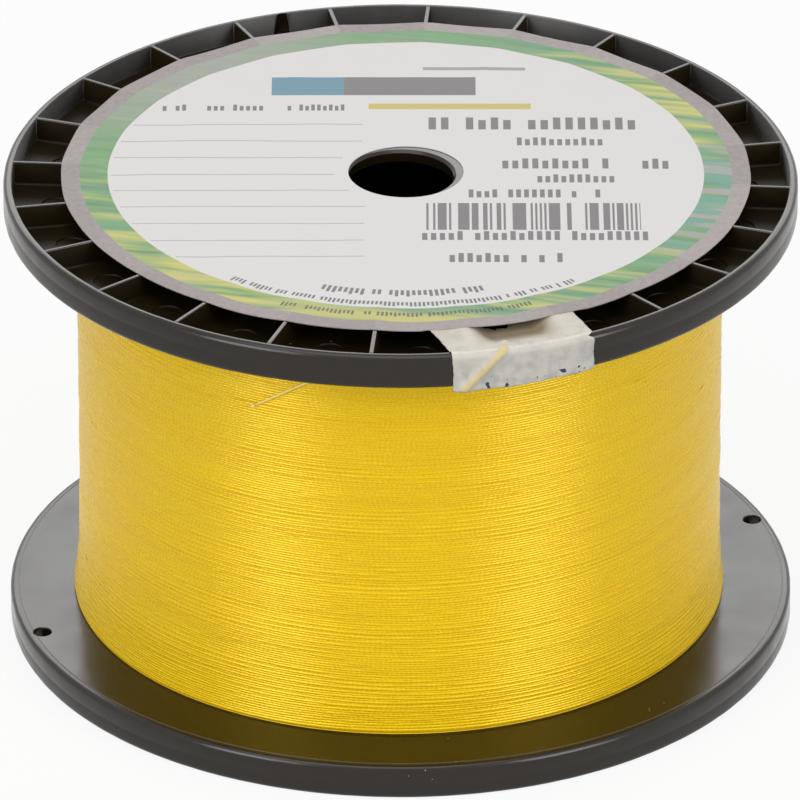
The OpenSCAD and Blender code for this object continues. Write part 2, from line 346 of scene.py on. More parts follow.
def black_plastic():
    """Polished moulding: faint turning marks round the axis, rubbed patches and some dust in the hollows.

    The tool left the rim's inner wall satin, with marks round it that draw a gleam out up and down, and the
    pockets between the ribs unpolished. The wall is also painted a lighter grey in streaks round it, partly
    its satin face and partly a painted sheen, and the pockets a lighter, warmer black: painted light. The
    pockets lie as far from the spool's middle on both flanges.
    """
    material, tree, shader = new_finish("black_plastic")
    place = node(tree, "ShaderNodeTexCoord").outputs["Object"]
    x, y, z = split(tree, place)
    azimuth = calc(tree, "ARCTAN2", y, x)
    level = node(tree, "ShaderNodeVectorMath", {0: place, 1: (1, 1, 0)}, operation="MULTIPLY").outputs[0]
    radius = node(tree, "ShaderNodeVectorMath", {0: level}, operation="LENGTH").outputs["Value"]
    marks = noise(tree, join(tree, calc(tree, "MULTIPLY", azimuth, 0.0009), radius, z), 3500.0, 3.0)
    cells = node(tree, "ShaderNodeTexVoronoi", {"Vector": place, "Scale": 900.0}).outputs
    near = calc(tree, "LESS_THAN", cells["Distance"], 0.085)
    draw = node(tree, "ShaderNodeSeparateColor", {0: cells["Color"]}).outputs[0]
    drifts = spread(tree, noise(tree, place, 60.0), 0.52, 0.72, 0.0, 0.22)
    speck = calc(tree, "MULTIPLY", near, calc(tree, "LESS_THAN", draw, drifts))
    wall = inside(tree, radius, (rim_inner_r - 0.2) * MM, (rim_inner_r + 0.08) * MM)
    # Painted sheen, partly the satin face: the rim's inner wall is painted a lighter grey in streaks round it
    streaks = noise(tree, join(tree, calc(tree, "MULTIPLY", azimuth, 0.056)), 260.0, 3.0)
    satin = calc(tree, "MULTIPLY", wall, spread(tree, streaks, 0.3, 0.7, 0.25, 1.0))
    from_middle = calc(tree, "ABSOLUTE", calc(tree, "SUBTRACT", z, height / 2 * MM))
    lowest = height / 2 - pocket_depth - mark_depth - 0.05
    sunk = inside(tree, from_middle, lowest * MM, (height / 2 - edge_round) * MM)
    ribbed = inside(tree, radius, (hub_r + 0.2) * MM, (rim_inner_r - 0.2) * MM)
    pocket = calc(tree, "MULTIPLY", sunk, ribbed)
    # Painted light: the pockets are painted a lighter, warmer black than the rest
    plastic = blend(tree, pocket, blend(tree, satin, plastic_black, satin_black_and_painted_sheen), pocket_black_painted_warm)
    rubbed = spread(tree, noise(tree, place, 130.0, 4.0), 0.35, 0.75, 0.17, 0.27)
    unpolished = calc(tree, "MAXIMUM", calc(tree, "MULTIPLY", wall, 0.5), calc(tree, "MULTIPLY", pocket, 0.4))
    feed(tree, shader, {
        "Base Color": blend(tree, speck, plastic, dust_pale),
        "Roughness": calc(tree, "MAXIMUM", rubbed, calc(tree, "MAXIMUM", unpolished, speck)),
        "Specular IOR Level": calc(
            tree, "MULTIPLY_ADD", wall, 0.5, calc(tree, "MULTIPLY_ADD", pocket, -0.3, 0.43)),
        "Anisotropic": calc(tree, "MULTIPLY", wall, 0.9),
        "Anisotropic Rotation": 0.25,
        "Tangent": node(tree, "ShaderNodeTangent", direction_type="RADIAL", axis="Z").outputs[0],
        "Normal": bumped(tree, marks, 0.25, 0.00001),
    })
    return material


def wall_profile():
    """Across and down from a wall's top: quarter round, drafted face, and quarter fillet to the floor."""
    turn = np.radians(np.linspace(0, 90, 4))
    face = edge_round + wall_draft
    across = np.concatenate([edge_round * np.sin(turn), face + foot_fillet * (1 - np.cos(turn))])
    down = np.concatenate([edge_round * (1 - np.cos(turn)), pocket_depth - foot_fillet * (1 - np.sin(turn))])
    return across, down


def flange_rows():
    """Section of the flange's skin: radius, depth from its face, row in a mark's block, and if in a pocket.

    It runs from the bore over the hub, across a pocket, over the rim, along the line side and down the hub.
    """
    across, down = wall_profile()
    block = np.linspace(-1, 1, mark_lines)
    quarter = np.radians(np.linspace(0, 90, 8))
    shoulder = flange_r - rim_round
    groove = np.array([-0.13, -0.05, 0.05, 0.13])
    seat_in = seat_ring_r - seat_ring_wall
    seat_top = flange_t + seat_ring_h
    parts = [
        ([bore_r, bore_r, bore_r + bore_chamfer, 10.5, 13.5], [1.0, bore_chamfer, 0, 0, 0]),
        (hub_r - edge_round + across, down),
        ([22.0, 34.0, 43.0], [pocket_depth] * 3),
        (mark_r + mark_block * block, np.full(mark_lines, pocket_depth)),
        (rim_inner_r + edge_round - across[::-1], down[::-1]),
        (shoulder + rim_round * np.sin(quarter), rim_round * (1 - np.cos(quarter))),
        ([flange_r, flange_r - parting_cut, flange_r - parting_cut, flange_r], parting_depth + groove),
        (shoulder + rim_round * np.cos(quarter), flange_t - rim_round * (1 - np.sin(quarter))),
        ([55.6, 53.0, 48.0, 42.0, 36.0], [flange_t] * 5),
        ([seat_ring_r, seat_ring_r, seat_ring_r - seat_bevel, seat_in + seat_bevel, seat_in, seat_in],
         [flange_t, seat_top - seat_bevel, seat_top, seat_top, seat_top - seat_bevel, flange_t]),
        ([24.0, hub_r - hub_wall, hub_r - hub_wall, 10.5, bore_r],
         [flange_t, flange_t, hub_wall, hub_wall, hub_wall]),
    ]
    radius = np.concatenate([np.asarray(r, float) for r, _ in parts])
    depth = np.concatenate([np.asarray(d, float) for _, d in parts])
    row_of_block = np.full(len(radius), np.nan)
    start = sum(len(r) for r, _ in parts[:3])
    row_of_block[start:start + len(block)] = block
    in_pocket = np.zeros(len(radius), bool)
    in_pocket[len(parts[0][0]):sum(len(r) for r, _ in parts[:5])] = True
    return radius, depth, row_of_block, in_pocket


def flange_columns():
    """Columns round the flange, each pocket from one rib's middle to the next.

    Returns each one's azimuth, its offset sideways from a rib's middle, the depth of the rib's flank there,
    its column in the ejector mark's block, and its pocket's middle. Azimuth 0 is the middle of a pocket.
    """
    across, down = wall_profile()
    block = np.linspace(-1, 1, mark_lines)
    flank = rib_half - edge_round + across
    step = 2 * np.pi / rib_count
    beside_rib = np.full(len(flank), step / 2)
    azimuth = np.concatenate([[-step / 2], -beside_rib, block * mark_block / mark_r, beside_rib])
    offset = np.concatenate([[0], flank, np.zeros(mark_lines), -flank[::-1]])
    depth = np.concatenate([[0], down, np.full(mark_lines, pocket_depth), down[::-1]])
    column_of_block = np.concatenate([np.full(len(flank) + 1, np.nan), block, np.full(len(flank), np.nan)])
    pockets = np.arange(rib_count)
    all_round = [np.tile(values, rib_count) for values in (offset, depth, column_of_block)]
    turns = (azimuth[None] + pockets[:, None] * step).ravel()
    return turns, *all_round, np.repeat(pockets, len(azimuth)) * step


def flange_points():
    """Azimuth, radius and depth of the flange's skin, on rows round its section and columns round its axis.

    Inside a pocket the depth is the shallower of the wall's and the rib's. In an ejector mark's block the
    grid's square rings are pulled to circles, the middle ones sunk, with a thin lip where the pin ended.
    """
    radius, depth, block_row, in_pocket = flange_rows()
    azimuth, offset, rib_depth, block_column, middle = flange_columns()
    r = np.repeat(radius[:, None], len(azimuth), axis=1)
    a = azimuth[None] + np.arcsin(offset[None] / np.maximum(r, hub_r))
    d = np.where(in_pocket[:, None], np.minimum(depth[:, None], rib_depth[None]), depth[:, None])
    s, t = np.broadcast_arrays(block_row[:, None], block_column[None])
    ring = np.maximum(np.abs(s), np.abs(t))
    on_mark = ring < 0.9
    ring = np.where(on_mark, ring, 1.0)
    s, t = np.where(on_mark, s, 1.0), np.where(on_mark, t, 1.0)
    steep = np.abs(s) >= np.abs(t)
    longer, shorter = np.where(steep, s, t), np.where(steep, t, s)
    share = np.pi / 4 * shorter / np.where(longer == 0, 1, longer)
    reach = np.interp(ring, [0, 0.2, 0.4, 0.6, 0.8], [0, 1.2, 2.04, 2.14, 2.25]) * np.sign(longer)
    x = reach * np.where(steep, np.cos(share), np.sin(share))
    y = reach * np.where(steep, np.sin(share), np.cos(share))
    sunk = np.interp(ring, [0, 0.4, 0.6, 0.8, 1.0], [mark_depth, mark_depth, mark_depth, -0.02, 0])
    r = np.where(on_mark, np.hypot(mark_r + x, y), r)
    a = np.where(on_mark, middle[None] + np.arctan2(y, mark_r + x), a)
    return a, r, d + np.where(on_mark, sunk, 0)


def close_doubles(made):
    """Joins points that lie on each other, drops the faces that this flattens and keeps steep edges sharp."""
    shape = bmesh.new()
    shape.from_mesh(made.data)
    bmesh.ops.remove_doubles(shape, verts=shape.verts, dist=0.000002)
    bmesh.ops.dissolve_degenerate(shape, edges=shape.edges, dist=0.000001)
    shape.to_mesh(made.data)
    shape.free()
    made.data.set_sharp_from_angle(angle=sharp_edge)


def lathe(name, profile, centre, sides=48):
    """Closed solid turned from a profile of radius and height, whose ends lie on its own axis."""
    turn = np.arange(sides) * 2 * np.pi / sides
    made = surface(name, polar(turn[None], profile[:, :1], profile[:, 1:]) + centre, wrap_columns=True)
    close_doubles(made)
    return made


def cut(made, cutters):
    """Takes the cutters' solids out of a piece, for good, and removes them."""
    for cutter in cutters:
        modifier = made.modifiers.new("cut", "BOOLEAN")
        modifier.object = cutter
        modifier.operation = "DIFFERENCE"
        modifier.solver = "EXACT"
    bpy.context.view_layer.update()
    evaluated = made.evaluated_get(bpy.context.evaluated_depsgraph_get())
    mesh = bpy.data.meshes.new_from_object(evaluated)
    made.modifiers.clear()
    made.data = mesh
    for cutter in cutters:
        bpy.data.objects.remove(cutter)


def flange(name, packed_node, turn, upper):
    """One flange in its place. The upper one is the lower one turned over."""
    side = -1 if upper else 1
    face_z = height if upper else 0.0
    a, r, d = flange_points()
    points = polar(math.radians(turn) + side * a, r, face_z + side * d)
    made = surface(name, points, wrap_rows=True, wrap_columns=True)
    close_doubles(made)
    profile = np.array([
        (0, -cutter_past), (tie_groove_top_r, -cutter_past), (tie_groove_r, pocket_depth),
        (tie_hole_r, pocket_depth), (tie_hole_r, flange_t - tie_chamfer),
        (tie_hole_r + tie_chamfer, flange_t), (tie_hole_r + 0.5, flange_t + 0.4), (0, flange_t + 0.4),
    ])
    profile[:, 1] = face_z + side * profile[:, 1]
    cutters = []
    for number, half_turn in enumerate((0, math.pi)):
        centre = polar(math.radians(turn) + half_turn, tie_r, 0)
        cutters.append(lathe(f"{name}_tie_hole_{number}", profile[::side], centre))
    cut(made, cutters)
    made.data.set_sharp_from_angle(angle=sharp_edge)
    made.data.materials.clear()
    dress(made, plastic_finish, "black_plastic", packed_node)


plastic_finish = black_plastic()
flange("lower_flange_moulding", "bottom_flange", bottom_turn, False)
flange("upper_flange_moulding", "top_flange", top_turn, True)


# ---- Core barrel and start tape ----
# An extruded tube that the flanges are pressed on, and the paper patch that keeps the line's first turn from
# slipping round it. Both are inside the winding.

tape_paper_colour = (0.74, 0.69, 0.60, 1)
tape_stain_and_shade = (0.27, 0.30, 0.32, 1)
ink_trace = (0.03, 0.04, 0.07, 1)
sag_shade_tan = (0.33, 0.27, 0.18, 1)
tape_fold_and_highlight = (0.80, 0.79, 0.74, 1)
line_through = (0.80, 0.60, 0.17, 1)


def refinish(packed_node, material):
    """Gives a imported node's own mesh another material."""
    for material_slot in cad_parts[packed_node].material_slots:
        material_slot.material = material


def masking_paper():
    """Thin creped paper that the line shows through, with dirty places at its free edge, and painted shade."""
    material, tree, shader = new_finish("masking_paper")
    place = node(tree, "ShaderNodeTexCoord").outputs["Object"]
    along = split(tree, node(tree, "ShaderNodeUVMap", uv_map="run").outputs[0])[0]
    line_under = node(tree, "ShaderNodeAttribute", attribute_name="line_under").outputs["Fac"]
    # Painted shade: stains grow towards the free edge, and the whole stretch down the rim's side is darker
    cloudy = spread(tree, noise(tree, place, 560.0, 4.0), 0.45, 0.68)
    free_edge_dirt_and_shade = spread(tree, along, 0.0085, 0.0145)
    side_painted_shade = spread(tree, along, 0.0094, 0.0104, 0.0, 0.3)
    clouds = calc(tree, "MULTIPLY", cloudy, calc(tree, "MULTIPLY_ADD", free_edge_dirt_and_shade, 0.4, 0.22))
    dirt_and_painted_shade = calc(tree, "MAXIMUM", clouds, calc(tree, "MULTIPLY_ADD", clouds, 0.6, side_painted_shade))
    paper = blend(tree, dirt_and_painted_shade, tape_paper_colour, tape_stain_and_shade)
    # Painted shade: where the tape sags into the pocket it is painted tan and darker
    sag_painted_shade = node(tree, "ShaderNodeAttribute", attribute_name="sag_painted_shade").outputs["Fac"]
    paper = blend(tree, calc(tree, "MULTIPLY", sag_painted_shade, 1.6), paper, sag_shade_tan)
    # Partly creased paper, partly a painted highlight: a lighter line along the fold over the rim's edge
    worn_and_highlight = spread(tree, noise(tree, place, 700.0), 0.35, 0.55, 0.0, 0.6)
    fold_highlight = calc(tree, "MULTIPLY", calc(tree, "COMPARE", along, 0.0096, 0.00013), worn_and_highlight)
    paper = blend(tree, fold_highlight, paper, tape_fold_and_highlight)
    traces = calc(tree, "GREATER_THAN", noise(tree, place, 700.0, 4.0), 0.615)
    low_edge = calc(tree, "COMPARE", along, 0.0149, 0.0006)
    paper = blend(tree, calc(tree, "MULTIPLY", traces, low_edge), paper, ink_trace)
    patchy = spread(tree, noise(tree, place, 1500.0), 0.35, 0.65, 0.5, 0.95)
    shown = calc(tree, "MULTIPLY", line_under, patchy)
    crepe = calc(tree, "MULTIPLY_ADD", noise(tree, place, 650.0), 1.5, noise(tree, place, 2200.0, 3.0))
    feed(tree, shader, {
        "Base Color": blend(tree, shown, paper, line_through),
        "Roughness": 0.62,
        "Specular IOR Level": 0.35,
        "Normal": bumped(tree, crepe, 0.8, 0.00006),
    })
    return material


tape_finish = masking_paper()
refinish("core_barrel", plastic_finish)
refinish("start_tape", tape_finish)


# ---- Wound line ----
# One length of braid laid on in close turns by a level winder. The turns crowd and part a little, and the
# winding swells towards the lower flange. Under the outer layer the rest is a solid drum of the same line.

traverse = 60.54
turn_count = 166
turn_steps = 149.5
turn_clearance = 0.05
wound_r = 46.62
drum_bore_r = 35.75
pressed_thick_r = 0.135
pressed_wide_r = 0.245
# Angles of the points round a wound turn, from its outer side: most lie where it shows
turn_section = np.radians([-85, -45, 0, 45, 85, 180])


def waves(azimuth, z, seed, count, cycles, lengths):
    """Sum of random waves that close on themselves round the spool, and its slope up the spool.

    Each wave has whole cycles round the spool and a length up it, and is as high as its length over 2 pi, so
    all have the same slope. The sum is scaled to a slope of about 1.
    """
    random = np.random.default_rng(seed)
    shift, slope = np.zeros(np.shape(azimuth + z)), np.zeros(np.shape(azimuth + z))
    for _ in range(count):
        turn = random.integers(*cycles) * random.choice([-1, 1]) * azimuth
        length = random.uniform(*lengths)
        phase = turn + 2 * np.pi * (z / length + random.random())
        shift += length / (2 * np.pi) * np.cos(phase)
        slope -= np.sin(phase)
    return shift * math.sqrt(2 / count), slope * math.sqrt(2 / count)


def wound_radius(azimuth, z):
    """Radius over the wound line: a cylinder a little off centre, swelling towards the lower flange."""
    up = np.maximum(z - flange_t, 0)
    swell = 0.55 * np.exp(-up / 3) + 0.5 * np.exp(-up / 9)
    lean = -0.13 - 0.15 * np.exp(-up / 6)
    ripple = 0.03 * waves(azimuth, z, 11, 9, (1, 7), (4, 16))[1]
    return wound_r + swell + lean * np.cos(azimuth) + ripple


def turn_path(first, last):
    """Middle of the line through some of its turns.

    It climbs evenly, moved up and down by waves that crowd and part the turns. Where they crowd, every other
    turn rides up a little.
    """
    turns = np.linspace(first, last, round((last - first) * turn_steps) + 1)
    azimuth = 2 * np.pi * turns
    low = flange_t + turn_clearance + line_d / 2
    high = flange_t + traverse - turn_clearance - line_d / 2
    z = low + (high - low) * turns / turn_count
    calm = np.clip(np.minimum(z - low, high - z) / 1.5, 0, 1)
    near, crowding = waves(azimuth, z, 3, 26, (2, 19), (0.9, 4.5))
    wide, _ = waves(azimuth, z, 5, 6, (1, 4), (14, 40))
    fine, loose = waves(azimuth, z, 7, 20, (20, 70), (0.7, 2.0))
    z = z + calm * (0.06 * near + 0.04 * wide + 0.03 * fine)
    squeeze = np.clip(-crowding, 0, 2) * 0.5 + 0.5
    ride = 0.04 * squeeze * np.cos(np.pi * turns + 0.35 * z)
    radius = wound_radius(azimuth, z) - pressed_thick_r + calm * ride + 0.015 * loose
    return polar(azimuth, radius, z)


def wound_turns(name, first, last, before):
    """Some turns of the outer layer as one tube. before is the length of line wound ahead of them."""
    path = turn_path(first, last)
    outward = polar(np.arctan2(path[:, 1], path[:, 0]), 1, 0)
    points = tube(path, outward, turn_section, pressed_thick_r, pressed_wide_r)
    run = tube_run(path, turn_section, before)
    made = surface(name, points, wrap_columns=True, capped=True, run=run)
    made.data.set_sharp_from_angle(angle=math.radians(60))
    return made, run[0][-1]


def packed_line():
    """The layers below: turns as close as those on top, with grooves painted deeper amber: painted shade."""
    material, tree, shader = new_finish("packed_line")
    place = node(tree, "ShaderNodeTexCoord").outputs["Object"]
    z = split(tree, place)[2]
    groove = calc(tree, "SINE", calc(tree, "MULTIPLY", z, 2 * math.pi / (line_d * MM)))
    # Painted shade: the grooves between turns are a deeper amber
    share = calc(tree, "MULTIPLY_ADD", groove, 0.2, calc(tree, "MULTIPLY", noise(tree, place, 500.0), 0.8))
    feed(tree, shader, {
        "Base Color": blend(tree, share, line_amber, line_yellow),
        "Roughness": 0.5,
        "Normal": bumped(tree, groove, 0.7, 0.0001),
    })
    return material


def drum():
    """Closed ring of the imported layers: its outside follows the outer layer's inside, its bore the barrel."""
    azimuth = np.linspace(0, 2 * np.pi, 240, endpoint=False)[None]
    z = np.linspace(flange_t + turn_clearance, flange_t + traverse - turn_clearance, 60)[:, None]
    outside = polar(azimuth, wound_radius(azimuth, z) - 1.1 * pressed_thick_r, z)
    bore = polar(azimuth, drum_bore_r, z[::-1])
    return surface("wound_line_core", np.concatenate([outside, bore]), wrap_rows=True, wrap_columns=True)


def stray_turn():
    """The stretch of the last turn that comes up between the others where the free end leaves them."""
    back = np.linspace(2.4, 0, 9)
    azimuth = tail_azimuth[0] - back / route[0, 1]
    path = polar(azimuth, route[0, 1] - 0.4 * back ** 2, route[0, 2] - 0.67 * 3 * (1 - np.exp(-back / 3)))
    points = tube(path, polar(azimuth, 1, 0), tail_turn, line_d / 2, line_d / 2)
    return surface("line_last_turn", points, wrap_columns=True, capped=True, run=tube_run(path, tail_turn))


wound_finish = braided_line("braided_line_wound", line_yellow, line_amber, wound_lustre)
drum_piece = drum()
drum_piece.data.set_sharp_from_angle(angle=sharp_edge)
dress(drum_piece, packed_line(), "yellow_line", "line_inner_layers")
wound = 0.0
for name, first, last in (("wound_line_lower", 0, 83), ("wound_line_upper", 83, turn_count)):
    made, wound = wound_turns(name, first, last, wound)
    dress(made, wound_finish, "yellow_line", "line_outer_layer")
dress(stray_turn(), loose_finish, "yellow_line")


# ---- End tape ----
# A torn-off piece of 19 mm paper masking tape, pressed over the rim to hold the line's end. Two ribs carry
# it. Between them it sags into the pocket, torn at its inner end, and the line lifts a ridge in it.

tape_turn = math.radians(-68.5)
tape_t = 0.13
tape_width = 20
tape_columns = 150
tape_left = -14.0
tape_right = 6.65
tape_inner = 46.9
tape_low = 65.2
tape_face_run = 9.4
tape_side_start = 10.66
tape_side_run = 4.9
tape_gap = 0.015
tape_ridge = 0.46
ridge_flat = 0.25
ridge_half = 0.62
stain_half = 0.36
fold_half = 0.22
crease_at = 9.5
crease_high = 0.16
slack_high = 0.012
notch_at = 9.9
notch_deep = 0.8
tape_sag = 1.5
tape_tear = (-3.9, 1.45, 0.9)
tape_pocket = 11
rib_step = 2 * math.pi / rib_count
first_rib = math.radians(top_turn) + rib_step / 2


def rough_line(run, seed, size):
    """Uneven edge: sum of waves of 0.7 to 9 mm along a run in millimetres."""
    random = np.random.default_rng(seed)
    total = np.zeros(np.shape(run))
    for length in (9, 5, 2.7, 1.6, 1.1, 0.7):
        total += math.sqrt(length / 9) * np.sin(2 * np.pi * (run / length + random.random()))
    return size * total / 1.5


def pocket_share(azimuth):
    """-1 to 1 from one rib's middle to the next, for the pocket that an azimuth lies in, and its number."""
    steps = (azimuth - first_rib) / rib_step
    number = np.floor(steps)
    return 2 * (steps - number) - 1, number.astype(int) % rib_count


def end_tape():
    """Strip that runs along the flange's face, round the rim's edge and down its side.

    Row by row it is a place in the rim's section, given by the angle of its outward normal and the length run
    from the inner end. The strip is straight, so at each radius it lies as far forward as its distance
    sideways allows. Along the line it rises in a bell-shaped ridge, and between the ribs its inner end sags.
    """
    flat = np.linspace(0, 1, 44)
    bend = np.linspace(0, np.pi / 2, 9)[1:]
    side = np.linspace(0, 1, 26)[1:]
    shoulder = flange_r - rim_round
    angle = np.concatenate([np.zeros(len(flat)), bend, np.full(len(side), np.pi / 2)])[:, None]
    runs = flat * tape_face_run, tape_face_run + rim_round * bend, tape_side_start + side * tape_side_run
    station = np.concatenate(runs)[:, None]
    on_top = np.concatenate([flat, np.ones(len(bend) + len(side))])[:, None]
    down = np.concatenate([np.zeros(len(flat) + len(bend)), side])[:, None]
    left = tape_left + rough_line(station, 21, 0.06)
    notch = notch_deep * np.exp(-((station - notch_at) / fold_half) ** 2)
    right = tape_right + rough_line(station, 22, 0.07) - notch
    across = right + np.linspace(0, 1, tape_columns)[None] * (left - right)
    tear_at, tear_half, tear_reach = tape_tear
    torn = np.clip(1 - ((across - tear_at) / tear_half) ** 2, 0, 1) ** 0.5
    inner = tape_inner + torn * (tear_reach + rough_line(across, 23, 0.55)) + rough_line(across, 24, 0.1)
    edge = np.sqrt(shoulder ** 2 - across ** 2)
    radius = shoulder + rim_round * np.sin(angle)
    forward = np.where(on_top < 1, inner + on_top * (edge - inner), np.sqrt(radius ** 2 - across ** 2))
    low = tape_low + 0.0011 * np.clip(across - tape_left, 0, None) ** 2 + rough_line(across, 25, 0.06)
    z = height - rim_round * (1 - np.cos(angle)) - down * (height - rim_round - low)
    ahead = np.array([math.cos(tape_turn), math.sin(tape_turn), 0])
    sideways = np.array([-math.sin(tape_turn), math.cos(tape_turn), 0])
    base = forward[..., None] * ahead + across[..., None] * sideways + z[..., None] * np.array([0, 0, 1])
    azimuth = np.arctan2(base[..., 1], base[..., 0])
    normal = polar(azimuth, np.sin(angle), np.cos(angle))
    reach = np.full(base.shape[:2], np.inf)
    for part in np.array_split(fine_path(tail_path, 0.1), 12):
        away = np.linalg.norm(base[:, :, None] - part, axis=-1)
        reach = np.minimum(reach, away.min(axis=-1))
    beside = np.sqrt(np.maximum(reach ** 2 - ridge_flat ** 2, 0))
    ridge = tape_ridge * np.exp(-(beside / ridge_half) ** 2)
    crease = crease_high * (1 + rough_line(across + 0.4 * station, 26, 0.5))
    crease = crease * np.exp(-((station - crease_at) / fold_half) ** 2)
    slack = slack_high * (1 + rough_line(station - 0.7 * across, 27, 0.7))
    points = base + normal * (tape_gap + np.maximum(ridge, crease + slack))[..., None]
    place, pocket = pocket_share(azimuth)
    hollow = np.clip(1.35 * (1 - place ** 2), 0, 1) ** 1.5 * np.where(pocket == tape_pocket, 1, 0.12)
    open_part = np.clip((rim_inner_r - np.hypot(base[..., 0], base[..., 1])) / 6.5, 0, 1)
    open_part = hollow * open_part * open_part * (3 - 2 * open_part)
    points[..., 2] -= tape_sag * open_part * (on_top < 1)
    run = (station[:, 0], np.linspace(tape_width, 0, tape_columns))
    on_wall = np.clip((station - 9.0) / 0.5, 0.1, 1)
    # The sag is also kept for the paper's painted shade
    marks = {"line_under": on_wall * np.exp(-(beside / stain_half) ** 2), "sag_painted_shade": open_part}
    made = surface("end_tape_strip", points, run=run, marks=marks)
    solid = made.modifiers.new("thickness", "SOLIDIFY")
    solid.thickness = tape_t * MM
    solid.offset = 1
    return made


dress(end_tape(), tape_finish, "masking_tape", "end_tape")


# ---- Label ----
# A die-cut round of printed film on the upper flange's ribs and hub, stuck on a little off centre. Between
# the ribs nothing holds it, so it hangs a little towards its edge. It passes over the tape's inner end.

label_x = 0.75
label_y = 0.55
label_r = 49.6
label_hole_r = 8.3
label_t = 0.12
label_sag = 0.24
label_sag_from = 24.0
rules_reach = 42.4
rule_half = 0.11
edge_print_r = 40.0
band_inner_r = 42.9
band_outer_r = 46.9
film_white = (0.76, 0.735, 0.73, 1)
print_grey = (0.42, 0.41, 0.42, 1)
print_black = (0.085, 0.078, 0.082, 1)
edge_mauve = (0.40, 0.355, 0.345, 1)
edge_dark = (0.26, 0.225, 0.22, 1)
band_green = (0.17, 0.36, 0.14, 1)
band_teal = (0.15, 0.35, 0.29, 1)
band_straw = (0.66, 0.60, 0.15, 1)
band_deep = (0.11, 0.26, 0.12, 1)
band_pale = (0.42, 0.385, 0.375, 1)
stroke_slope = math.radians(-12)
# Height of each ruled line, and its right-hand end
ruled_lines = [
    (15.34, -6.3), (9.94, -6.3), (4.57, -9.1), (-0.93, -10.3), (-6.07, -8.2), (-11.19, -5.9), (-16.59, -5.9),
    (-21.95, -5.9), (-26.97, -5.9),
]
# Left, right, bottom and top of each row of small print, which is plain blocks
print_rows = [
    (3.3, 35.8, 13.7, 17.65), (14.9, 28.9, 8.5, 11.1), (13.9, 38.4, 1.0, 4.25), (18.9, 30.4, -3.5, -0.9),
    (9.0, 28.3, -8.3, -5.75), (-0.2, 36.2, -21.8, -19.0), (4.9, 22.7, -28.7, -25.9),
    (-35.4, -31.6, 19.9, 21.9), (-28.9, -20.4, 19.9, 21.9), (-17.2, -8.6, 19.9, 21.9),
]
# The same for print that follows the edge, as length round the label at edge_print_r, and radius
edge_rows = [(-75.4, -51.0, 37.4, 39.3), (-88.0, -38.4, 41.0, 42.3), (-78.9, -46.0, 44.2, 45.4)]
bar_code = (2.7, 33.5, -18.6, -10.1)
bar_module = 0.324
# Plain bars of ink in the heading's place
heading = [
    ((-19.6, 10.2, 25.0, 31.0), (0.20, 0.185, 0.19, 1)), ((2.5, 17.5, 33.4, 34.4), (0.35, 0.34, 0.35, 1)),
    ((-5.4, 18.2, 20.4, 22.2), (0.60, 0.50, 0.13, 1)), ((-19.6, -9.0, 25.0, 31.0), (0.13, 0.28, 0.36, 1)),
]


def label_edge(azimuth, radius):
    """Distance from the spool's axis to a circle round the label's centre, at each azimuth."""
    off = math.hypot(label_x, label_y)
    turn = azimuth - math.atan2(label_y, label_x)
    return off * np.cos(turn) + np.sqrt(radius ** 2 - (off * np.sin(turn)) ** 2)


def label_disc():
    """Closed sheet on a grid of radii and azimuths, with the same columns in every pocket between two ribs.

    Its height is the ribs', less a sag that is a parabola across each pocket and grows as the square of the
    distance past half radius, plus the step up over the tape.
    """
    azimuth = first_rib + np.arange(rib_count * 12) * rib_step / 12
    outer = label_edge(azimuth, label_r) + 0.05 * np.cos(24 * (azimuth - first_rib))
    hole = label_edge(azimuth, label_hole_r)
    share = 1 - np.linspace(0, 1, 56)[:, None] ** 1.25
    radius = hole + (outer - hole) * share
    place, pocket = pocket_share(azimuth + 1e-6)
    random = np.random.default_rng(31)
    depth = label_sag * random.uniform(0.55, 1.25, rib_count)[pocket]
    across = np.clip(1.05 * np.abs(place), 0, 1)
    toward_edge = np.clip((radius - label_sag_from) / (label_r - label_sag_from), 0, 1)
    sag = depth * (1 - across ** 2) * toward_edge ** 2
    x, y, _ = np.moveaxis(polar(azimuth[None], radius, 0), -1, 0)
    forward = x * math.cos(tape_turn) + y * math.sin(tape_turn)
    sideways = y * math.cos(tape_turn) - x * math.sin(tape_turn)
    over = np.clip((forward - tape_inner + 1.6) / 1.4, 0, 1)
    over = over * np.clip(sideways - tape_left + 1.5, 0, 1) * np.clip(tape_right + 2 - sideways, 0, 1)
    z = height + 0.01 - sag + (tape_t + 0.03) * over * over * (3 - 2 * over)
    top = np.stack([x, y, z + label_t], axis=-1)
    under = np.stack([x, y, z], axis=-1)[::-1]
    made = surface("label_film", np.concatenate([top, under]), wrap_rows=True, wrap_columns=True)
    made.data.set_sharp_from_angle(angle=math.radians(50))
    return made


def both(tree, *shares):
    """Product of shares."""
    total = shares[0]
    for share in shares[1:]:
        total = calc(tree, "MULTIPLY", total, share)
    return total


def chance(tree, number, salt):
    """Random value that belongs to a whole number."""
    place = join(tree, calc(tree, "FLOOR", number), salt)
    return node(tree, "ShaderNodeTexWhiteNoise", {"Vector": place}, noise_dimensions="2D").outputs["Value"]


def row_of_blocks(tree, x, y, box, salt):
    """Row of narrow blocks of two heights, with gaps between them: a stand-in for a line of print."""
    left, right, bottom, top = box
    cell = (right - left) / round((right - left) / (0.45 * (top - bottom)))
    number = calc(tree, "DIVIDE", calc(tree, "SUBTRACT", x, left), cell)
    inked = calc(tree, "LESS_THAN", calc(tree, "FRACT", number), 0.6)
    draw = chance(tree, number, salt)
    kept = calc(tree, "GREATER_THAN", draw, 0.16)
    tall = calc(tree, "GREATER_THAN", draw, 0.6)
    ceiling = calc(tree, "MULTIPLY_ADD", tall, 0.22 * (top - bottom), bottom + 0.78 * (top - bottom))
    low = calc(tree, "LESS_THAN", y, ceiling)
    return both(tree, inside(tree, x, left, right), inside(tree, y, bottom, top), low, inked, kept)


